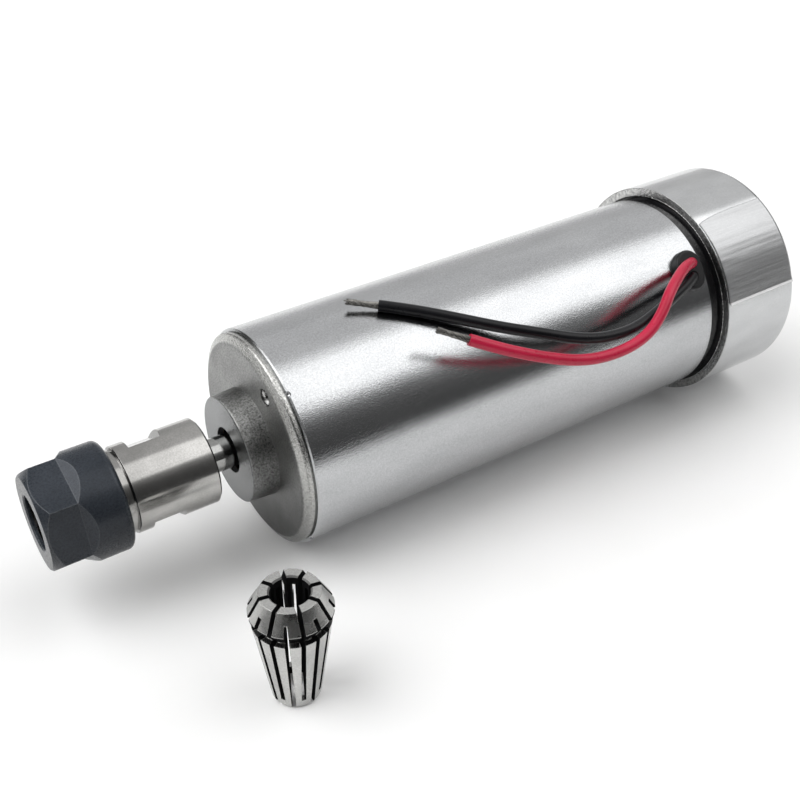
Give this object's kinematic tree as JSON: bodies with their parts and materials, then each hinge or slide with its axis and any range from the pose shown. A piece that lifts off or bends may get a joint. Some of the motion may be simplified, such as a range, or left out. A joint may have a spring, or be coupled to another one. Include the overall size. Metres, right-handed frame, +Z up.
{
  "type": "motor spindle",
  "caption": "Air-cooled brushed motor spindle with plated tube, fan cup, collet nut and holder, leads and a slit spring collet standing beside it.",
  "frame": {"origin": "on the spindle axis, in the mounting face of the front end plate, at the centre of its two tapped holes", "axes": "+X along the spindle axis from the plate towards the fan cup, -X towards the collet nut, +Z up, -Y towards the side with the leads and the loose collet"},
  "size_m": [0.2, 0.0857, 0.0576],
  "materials": {
    "plated_tube": "satin zinc plating",
    "cast_plate": "die-cast, slightly granular",
    "spring_steel": "blued spring steel",
    "bearing_steel": "ground",
    "bearing_balls": "polished",
    "pressed_cage": "pressed",
    "ferrite": "sintered, matt",
    "ground_shaft": "ground",
    "laminations": "stacked sheet edges, varnished",
    "enamelled_wire": "enamelled copper, varnished",
    "copper_bars": "turned copper",
    "moulded_hub": "phenolic moulding",
    "brass_guides": "folded sheet",
    "carbon": "pressed carbon",
    "moulded_caps": "moulded",
    "black_bell": "glossy moulding",
    "zinc_bolts": "zinc plated",
    "chromed_cup": "polished, raw cut rim",
    "black_screws": "black oxide",
    "turned_spacer": "turned",
    "fan_plastic": "moulded",
    "ground_holder": "ground, streaky",
    "black_nut": "black oxide, satin",
    "ring_steel": "ground",
    "ground_collet": "ground, satin",
    "black_rubber": "satin rubber",
    "red_insulation": "soft silicone",
    "black_insulation": "soft silicone",
    "tinned_strands": "twisted tinned strands"
  },
  "bodies": {
    "stator": {"motor_tube": "plated_tube", "front_end_plate": "cast_plate", "preload_shim": "spring_steel", "front_bearing_outer_ring": "bearing_steel", "rear_bearing_outer_ring": "bearing_steel", "upper_magnet": "ferrite", "lower_magnet": "ferrite", "upper_brush_guide": "brass_guides", "lower_brush_guide": "brass_guides", "upper_brush_spring": "spring_steel", "lower_brush_spring": "spring_steel", "upper_guide_cap": "moulded_caps", "lower_guide_cap": "moulded_caps", "rear_end_bell": "black_bell", "tie_bolts": "zinc_bolts", "fan_cup": "chromed_cup", "cup_screws": "black_screws", "grommet": "black_rubber", "red_lead": "red_insulation", "red_conductor": "tinned_strands", "black_lead": "black_insulation", "black_conductor": "tinned_strands"},
    "rotor": {"shaft": "ground_shaft", "armature_core": "laminations", "armature_windings": "enamelled_wire", "commutator": "copper_bars", "commutator_hub": "moulded_hub", "front_bearing_inner_ring": "bearing_steel", "rear_bearing_inner_ring": "bearing_steel", "fan_spacer": "turned_spacer", "cooling_fan": "fan_plastic", "fan_clip": "spring_steel", "collet_holder": "ground_holder"},
    "front_ball_set": {"front_bearing_balls": "bearing_balls", "front_bearing_cage": "pressed_cage"},
    "rear_ball_set": {"rear_bearing_balls": "bearing_balls", "rear_bearing_cage": "pressed_cage"},
    "nut_ring": {"nut_ring": "ring_steel"},
    "collet_nut": {"collet_nut": "black_nut"},
    "upper_brush": {"upper_brush": "carbon"},
    "lower_brush": {"lower_brush": "carbon"},
    "spring_collet": {"spring_collet": "ground_collet"}
  },
  "joints": [
    {"name": "rotor_spin", "type": "hinge", "parent": "stator", "child": "rotor", "pos_m": [0, 0, 0], "axis": [1, 0, 0], "continuous": true},
    {"name": "front_balls_orbit", "type": "hinge", "parent": "stator", "child": "front_ball_set", "pos_m": [0, 0, 0], "axis": [1, 0, 0], "continuous": true},
    {"name": "rear_balls_orbit", "type": "hinge", "parent": "stator", "child": "rear_ball_set", "pos_m": [0.11, 0, 0], "axis": [1, 0, 0], "continuous": true},
    {"name": "nut_ring_slide", "type": "slide", "parent": "rotor", "child": "nut_ring", "axis": [-1, 0, 0], "range_m": [0, 0.00601]},
    {"name": "nut_turn", "type": "hinge", "parent": "nut_ring", "child": "collet_nut", "pos_m": [-0.042, 0, 0], "axis": [-1, 0, 0], "range_deg": [0, 2160]},
    {"name": "upper_brush_slide", "type": "slide", "parent": "stator", "child": "upper_brush", "axis": [0, 0, 1], "range_m": [0, 0.0025], "stiffness_N_per_m": 180, "springref_m": -0.004, "deforming": ["upper_brush_spring"]},
    {"name": "lower_brush_slide", "type": "slide", "parent": "stator", "child": "lower_brush", "axis": [0, 0, -1], "range_m": [0, 0.0025], "stiffness_N_per_m": 180, "springref_m": -0.004, "deforming": ["lower_brush_spring"]},
    {"name": "collet_lift", "type": "slide", "parent": "stator", "child": "spring_collet", "axis": [0.0208, 0, 0.9998], "range_m": [0, 0.06]}
  ],
  "couplings": [
    {"joint": "front_balls_orbit", "follows": "rotor_spin", "ratio": 0.36767},
    {"joint": "rear_balls_orbit", "follows": "rotor_spin", "ratio": 0.36},
    {"joint": "nut_ring_slide", "follows": "nut_turn", "m_per_rad": 0.00015915}
  ]
}
